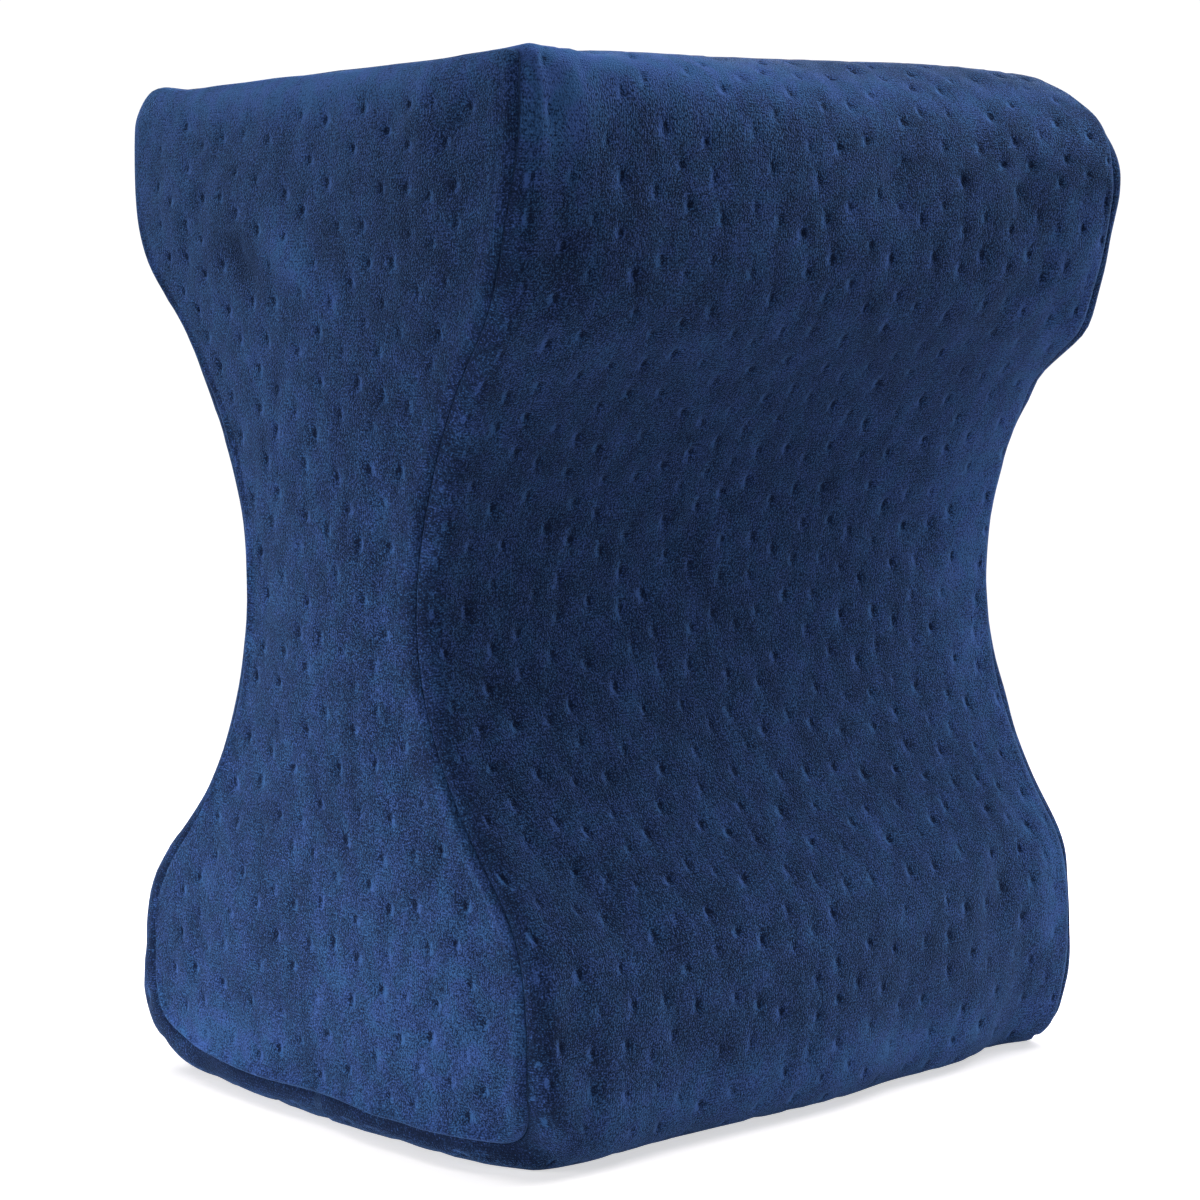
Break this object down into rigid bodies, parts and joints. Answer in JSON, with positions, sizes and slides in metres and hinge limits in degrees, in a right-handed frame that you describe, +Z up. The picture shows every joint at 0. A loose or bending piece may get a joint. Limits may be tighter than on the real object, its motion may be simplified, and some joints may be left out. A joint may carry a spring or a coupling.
{
  "type": "knee pillow",
  "caption": "Hourglass foam pillow held between the knees or legs, in a sewn velour cover with a dimpled pile, standing on one short end.",
  "frame": {"origin": "on the surface the pillow stands on, under the middle of its bounding box", "axes": "+Z up along the pillow's length, from the end it stands on to the other; X across the leg faces, from one side panel to the other; -Y out of the leg face that the picture shows, the left side panel at -X"},
  "size_m": [0.2032, 0.1702, 0.2538],
  "materials": {
    "velour_band": "dimpled velour pile, matt",
    "velour_panel": "dimpled velour pile, matt"
  },
  "bodies": {
    "root": {"filled_boxing_band": "velour_band", "side_panel_left": "velour_panel", "side_panel_right": "velour_panel"}
  },
  "joints": []
}
